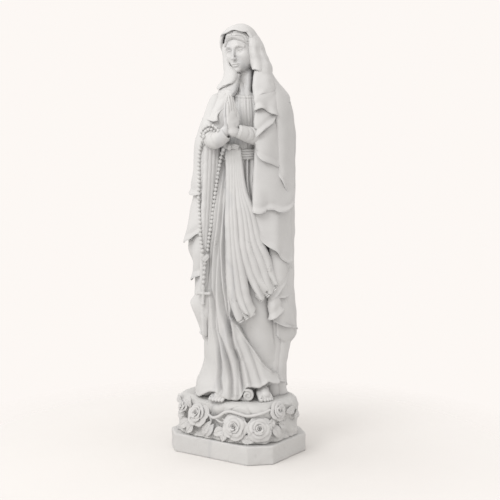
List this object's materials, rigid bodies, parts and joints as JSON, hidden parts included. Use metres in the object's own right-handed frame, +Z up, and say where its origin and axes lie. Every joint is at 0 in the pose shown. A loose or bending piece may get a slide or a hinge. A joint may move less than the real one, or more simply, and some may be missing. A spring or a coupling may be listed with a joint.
{
  "type": "madonna statue",
  "caption": "Standing praying Madonna in white marble with hood veil, long mantle, knotted sash and rosary, on an oval rock socle with roses and a chamfered plinth.",
  "frame": {"origin": "middle of the underside of the plinth, on the ground", "axes": "+X to the statue's left (to the right when facing it), +Y from the plinth's long front edge to its back, +Z up"},
  "size_m": [0.3534, 0.2863, 1.198],
  "materials": {
    "marble_plinth": "honed",
    "marble_rock": "satin, tooled",
    "marble_gown": "satin",
    "marble_mantle": "satin",
    "marble_skin": "polished satin",
    "marble_hair": "satin, tooled",
    "marble_rosary": "satin",
    "marble_rose": "satin, tooled",
    "bedding_mortar": "matte",
    "steel_dowel": "brushed"
  },
  "bodies": {
    "root": {"plinth": "marble_plinth", "socle_dowels": "steel_dowel", "rock_socle": "marble_rock", "figure_dowels": "steel_dowel", "gown_skirt": "marble_gown", "gown_bodice": "marble_gown", "waist_dowel": "steel_dowel", "neck_dowel": "steel_dowel", "head": "marble_skin", "hair": "marble_hair", "veil": "marble_mantle", "veil_left_lappet": "marble_mantle", "veil_right_lappet": "marble_mantle", "mantle_back": "marble_mantle", "mantle_left_shoulder": "marble_mantle", "mantle_right_shoulder": "marble_mantle", "mantle_left_cascade": "marble_mantle", "mantle_right_cascade": "marble_mantle", "mantle_right_inner_fold": "marble_mantle", "sash_belt": "marble_gown", "sash_knot": "marble_gown", "sash_upper_tail": "marble_gown", "sash_lower_tail": "marble_gown", "left_cuff": "marble_gown", "right_cuff": "marble_gown", "left_hand": "marble_skin", "right_hand": "marble_skin", "wrist_pins": "steel_dowel", "right_foot": "marble_skin", "left_foot": "marble_skin", "hem_scroll": "marble_gown", "rosary_outer_strand": "marble_rosary", "rosary_inner_strand": "marble_rosary", "rosary_heart": "marble_rosary", "rosary_pendant": "marble_rosary", "rosary_cross": "marble_rosary", "rose_front": "marble_rose", "rose_right_of_front": "marble_rose", "rose_corner": "marble_rose", "rose_left": "marble_rose", "rose_bud_left": "marble_rose", "rose_pins": "steel_dowel", "rose_leaves": "marble_rose", "rose_stem": "marble_rose", "stone_setting_bed": "bedding_mortar"}
  },
  "joints": []
}
